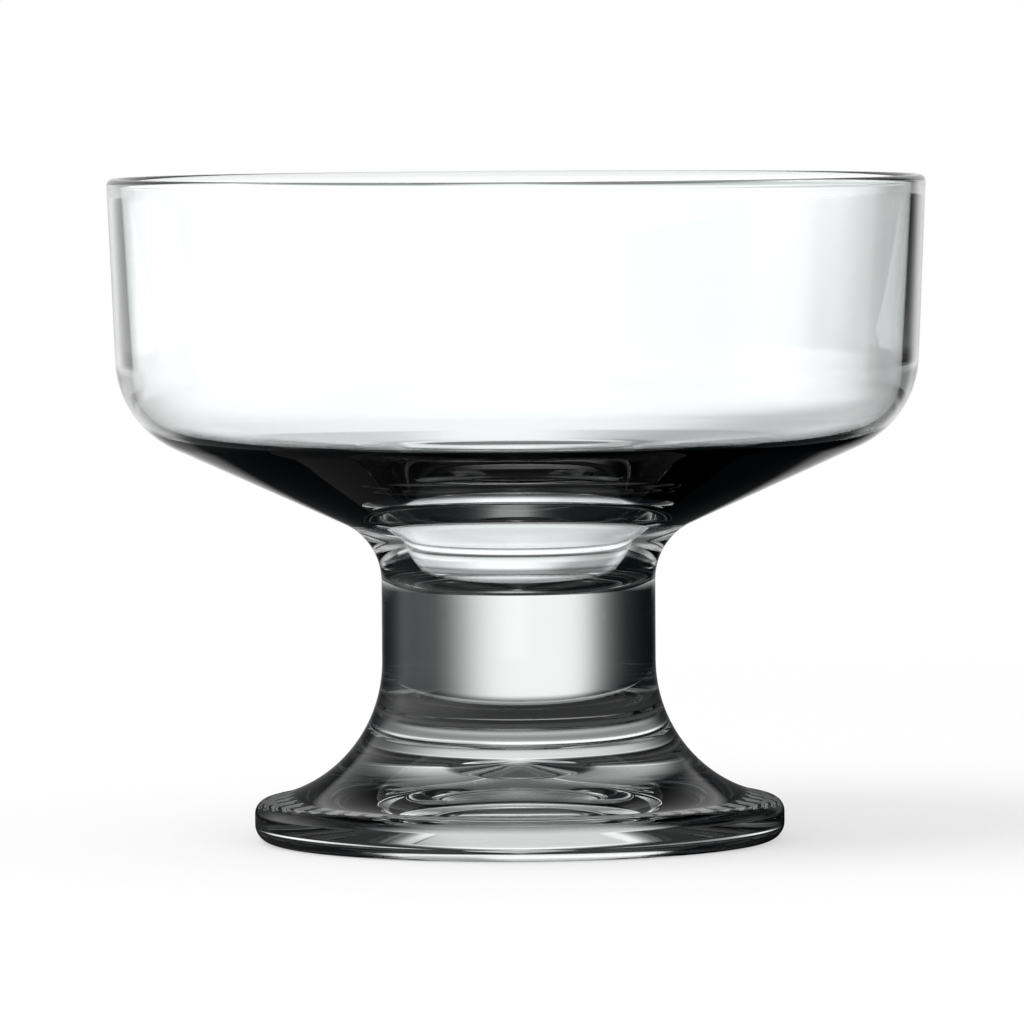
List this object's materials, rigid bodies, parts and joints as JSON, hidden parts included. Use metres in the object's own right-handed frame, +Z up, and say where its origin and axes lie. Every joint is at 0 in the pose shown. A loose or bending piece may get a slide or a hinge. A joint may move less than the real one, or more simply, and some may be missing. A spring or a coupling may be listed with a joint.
{
  "type": "parfait glass",
  "caption": "Clear parfait glass: a wide, low bowl with a rounded heel and a small well, on a short, thick, solid stem and a flared round foot with a hollow underside.",
  "frame": {"origin": "on the glass's axis, in the plane that the foot's flat ring stands on", "axes": "+Z up along the axis, from the foot to the rim; X and Y are any two directions across it"},
  "size_m": [0.102, 0.102, 0.0829],
  "materials": {
    "glass": "clear, fire-polished soda-lime glass"
  },
  "bodies": {
    "root": {"bowl": "glass", "stem": "glass", "foot": "glass"}
  },
  "joints": []
}
